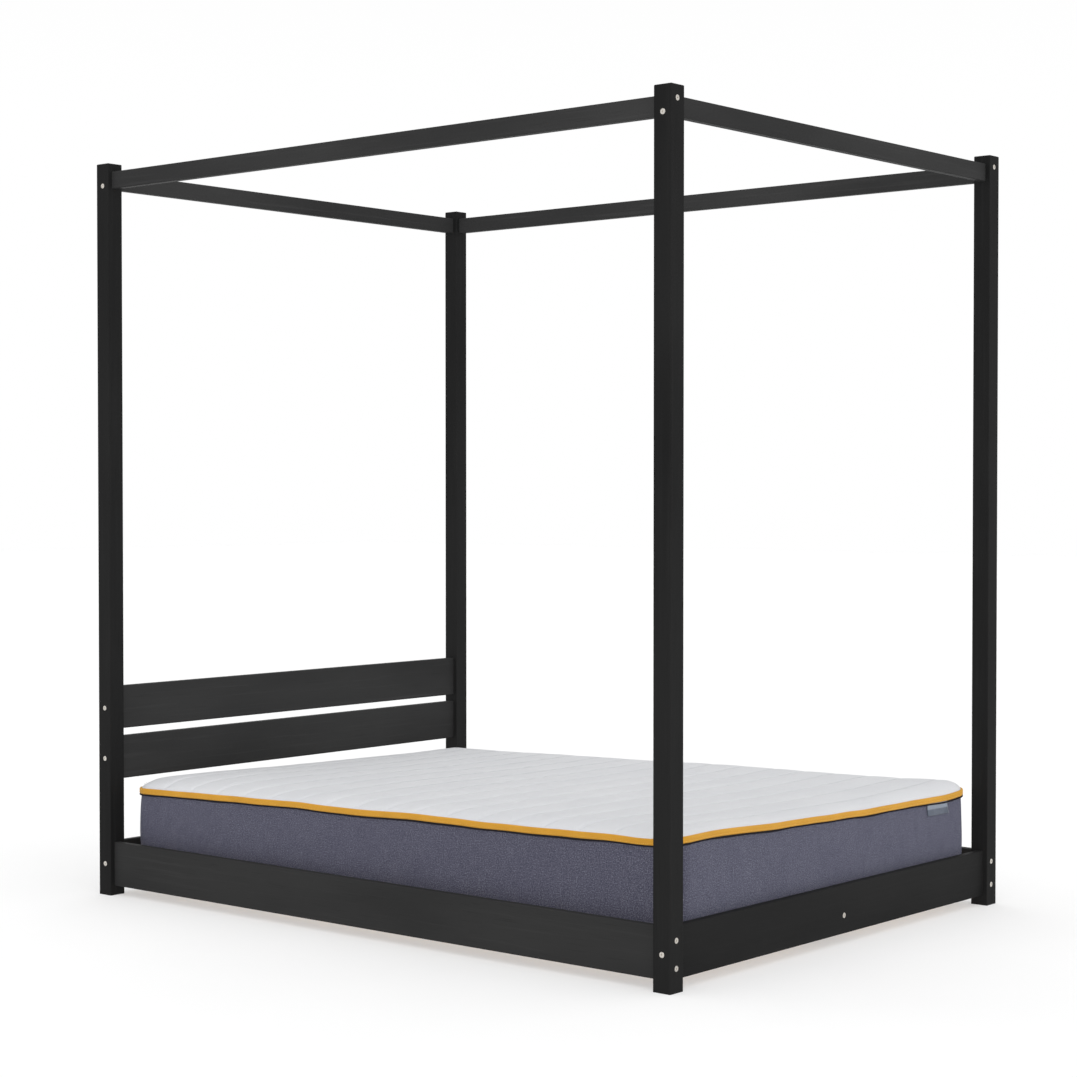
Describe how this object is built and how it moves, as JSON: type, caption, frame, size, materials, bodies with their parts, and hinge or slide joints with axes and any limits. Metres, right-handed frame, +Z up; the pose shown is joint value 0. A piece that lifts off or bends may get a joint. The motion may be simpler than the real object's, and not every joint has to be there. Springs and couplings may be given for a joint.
{
  "type": "four poster canopy bed",
  "caption": "Black timber double bed with square corner posts, a rectangular canopy rail at the top, a low plank headboard and a quilted mattress that lifts off.",
  "frame": {"origin": "on the floor under the middle of the frame", "axes": "+Z up, +Y towards the head of the bed, +X towards the right of someone who stands at the foot and looks at the headboard"},
  "size_m": [1.477, 1.983, 2.025],
  "materials": {
    "black_painted_timber": "satin",
    "natural_pine": "matte",
    "beech_dowel": "matte",
    "nickel_plated_steel": "satin",
    "zinc_plated_steel": "satin",
    "mattress_foam": "matte",
    "mattress_base_fabric": "matte",
    "mattress_border_fabric": "matte",
    "mattress_top_fabric": "matte",
    "mattress_tape": "satin",
    "mattress_label": "satin"
  },
  "bodies": {
    "frame": {"canopy_barrel_nuts": "zinc_plated_steel", "canopy_bolts": "nickel_plated_steel", "canopy_dowels": "beech_dowel", "canopy_rail_foot": "black_painted_timber", "canopy_rail_head": "black_painted_timber", "canopy_rail_left": "black_painted_timber", "canopy_rail_right": "black_painted_timber", "centre_beam": "black_painted_timber", "centre_beam_barrel_nuts": "zinc_plated_steel", "centre_beam_bolts": "nickel_plated_steel", "centre_beam_dowels": "beech_dowel", "centre_leg_foot": "black_painted_timber", "centre_leg_head": "black_painted_timber", "centre_leg_studs": "zinc_plated_steel", "end_rail_barrel_nuts": "zinc_plated_steel", "end_rail_bolts": "nickel_plated_steel", "end_rail_dowels": "beech_dowel", "foot_rail": "black_painted_timber", "head_rail": "black_painted_timber", "headboard_barrel_nuts": "zinc_plated_steel", "headboard_bolts": "nickel_plated_steel", "headboard_dowels": "beech_dowel", "headboard_lower_plank": "black_painted_timber", "headboard_upper_plank": "black_painted_timber", "ledger_screws": "zinc_plated_steel", "post_foot_left": "black_painted_timber", "post_foot_right": "black_painted_timber", "post_head_left": "black_painted_timber", "post_head_right": "black_painted_timber", "side_rail_barrel_nuts": "zinc_plated_steel", "side_rail_bolts": "nickel_plated_steel", "side_rail_dowels": "beech_dowel", "side_rail_left": "black_painted_timber", "side_rail_right": "black_painted_timber", "slat_01": "natural_pine", "slat_02": "natural_pine", "slat_03": "natural_pine", "slat_04": "natural_pine", "slat_05": "natural_pine", "slat_06": "natural_pine", "slat_07": "natural_pine", "slat_08": "natural_pine", "slat_09": "natural_pine", "slat_10": "natural_pine", "slat_11": "natural_pine", "slat_12": "natural_pine", "slat_13": "natural_pine", "slat_14": "natural_pine", "slat_ledger_left": "black_painted_timber", "slat_ledger_right": "black_painted_timber", "slat_screws": "zinc_plated_steel"},
    "mattress": {"mattress_base_panel": "mattress_base_fabric", "mattress_border": "mattress_border_fabric", "mattress_core": "mattress_foam", "mattress_edge_tape": "mattress_tape", "mattress_label": "mattress_label", "mattress_top_panel": "mattress_top_fabric"}
  },
  "joints": [
    {"name": "mattress_lift", "type": "slide", "parent": "frame", "child": "mattress", "axis": [0, 0, 1], "range_m": [0, 0.3]}
  ]
}
